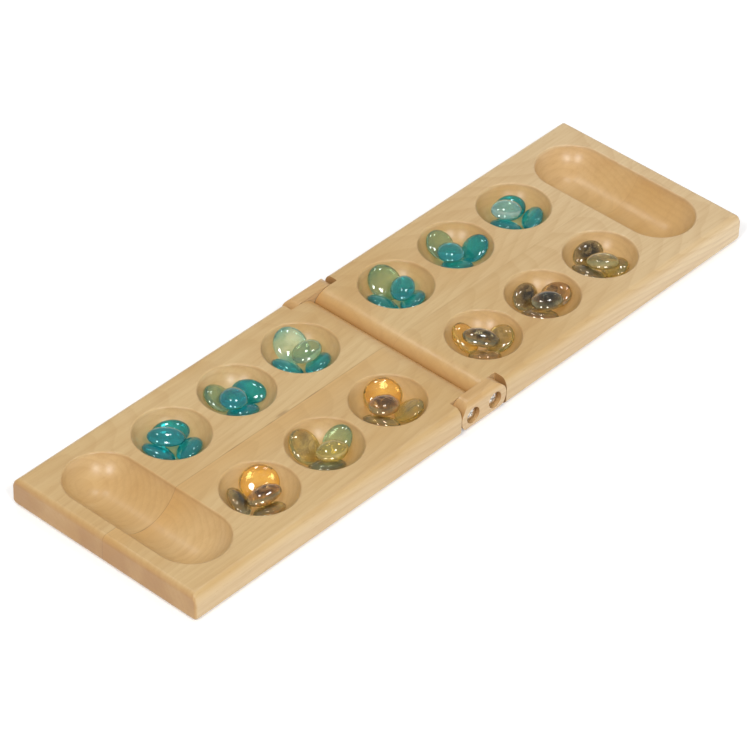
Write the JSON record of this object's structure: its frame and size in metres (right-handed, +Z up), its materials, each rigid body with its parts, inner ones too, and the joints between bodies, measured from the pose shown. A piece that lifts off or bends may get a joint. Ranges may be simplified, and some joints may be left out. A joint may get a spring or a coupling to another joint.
{
  "type": "folding mancala board",
  "caption": "Folding wooden mancala board: two hollowed halves joined by screwed wooden link hinges, with pits, a store at each end and glass stones heaped in the pits.",
  "frame": {"origin": "on the table under the middle of the seam between the halves, the board lying open", "axes": "+X along the board to the far half's end, +Y across to the back row of pits, +Z up"},
  "size_m": [0.4444, 0.134, 0.0186],
  "materials": {
    "wood": "satin clear lacquer on pale hardwood",
    "link_wood": "satin clear lacquer on pale hardwood",
    "screw_steel": "bright zinc",
    "stone_teal": "polished clear glass",
    "stone_sea_green": "polished clear glass",
    "stone_ice": "polished clear glass",
    "stone_amber": "polished clear glass",
    "stone_olive": "polished clear glass",
    "stone_smoke": "polished clear glass",
    "stone_brown": "polished clear glass"
  },
  "bodies": {
    "near_half": {"near_half": "wood", "hinge_screw_front_near": "screw_steel", "hinge_screw_back_near": "screw_steel", "stone_back_1_a": "stone_teal", "stone_back_1_b": "stone_teal", "stone_back_1_c": "stone_teal", "stone_back_1_d": "stone_teal", "stone_back_2_a": "stone_sea_green", "stone_back_2_b": "stone_teal", "stone_back_2_c": "stone_teal", "stone_back_2_d": "stone_teal", "stone_back_3_a": "stone_ice", "stone_back_3_b": "stone_teal", "stone_back_3_c": "stone_teal", "stone_back_3_d": "stone_sea_green", "stone_front_1_a": "stone_amber", "stone_front_1_b": "stone_smoke", "stone_front_1_c": "stone_smoke", "stone_front_1_d": "stone_brown", "stone_front_2_a": "stone_sea_green", "stone_front_2_b": "stone_olive", "stone_front_2_c": "stone_smoke", "stone_front_2_d": "stone_amber", "stone_front_3_a": "stone_amber", "stone_front_3_b": "stone_olive", "stone_front_3_c": "stone_smoke", "stone_front_3_d": "stone_brown"},
    "link_front": {"link_front": "link_wood"},
    "far_half": {"far_half": "wood", "hinge_screw_front_far": "screw_steel", "hinge_screw_back_far": "screw_steel", "stone_back_4_a": "stone_sea_green", "stone_back_4_b": "stone_teal", "stone_back_4_c": "stone_teal", "stone_back_4_d": "stone_teal", "stone_back_5_a": "stone_sea_green", "stone_back_5_b": "stone_teal", "stone_back_5_c": "stone_teal", "stone_back_5_d": "stone_teal", "stone_back_6_a": "stone_teal", "stone_back_6_b": "stone_teal", "stone_back_6_c": "stone_teal", "stone_back_6_d": "stone_ice", "stone_front_4_a": "stone_amber", "stone_front_4_b": "stone_olive", "stone_front_4_c": "stone_brown", "stone_front_4_d": "stone_smoke", "stone_front_5_a": "stone_smoke", "stone_front_5_b": "stone_brown", "stone_front_5_c": "stone_brown", "stone_front_5_d": "stone_smoke", "stone_front_6_a": "stone_smoke", "stone_front_6_b": "stone_olive", "stone_front_6_c": "stone_smoke", "stone_front_6_d": "stone_olive"},
    "link_back": {"link_back": "link_wood"}
  },
  "joints": [
    {"name": "near_pivot_front", "type": "hinge", "parent": "near_half", "child": "link_front", "pos_m": [-0.0089, -0.06255, 0.0094], "axis": [0, -1, 0], "range_deg": [0, 90]},
    {"name": "far_pivot_front", "type": "hinge", "parent": "link_front", "child": "far_half", "pos_m": [0.0089, -0.06255, 0.0094], "axis": [0, -1, 0], "range_deg": [0, 90]},
    {"name": "near_pivot_back", "type": "hinge", "parent": "near_half", "child": "link_back", "pos_m": [-0.0089, 0.06255, 0.0094], "axis": [0, -1, 0], "range_deg": [0, 90]}
  ],
  "couplings": [
    {"joint": "near_pivot_back", "follows": "near_pivot_front", "ratio": 1}
  ]
}
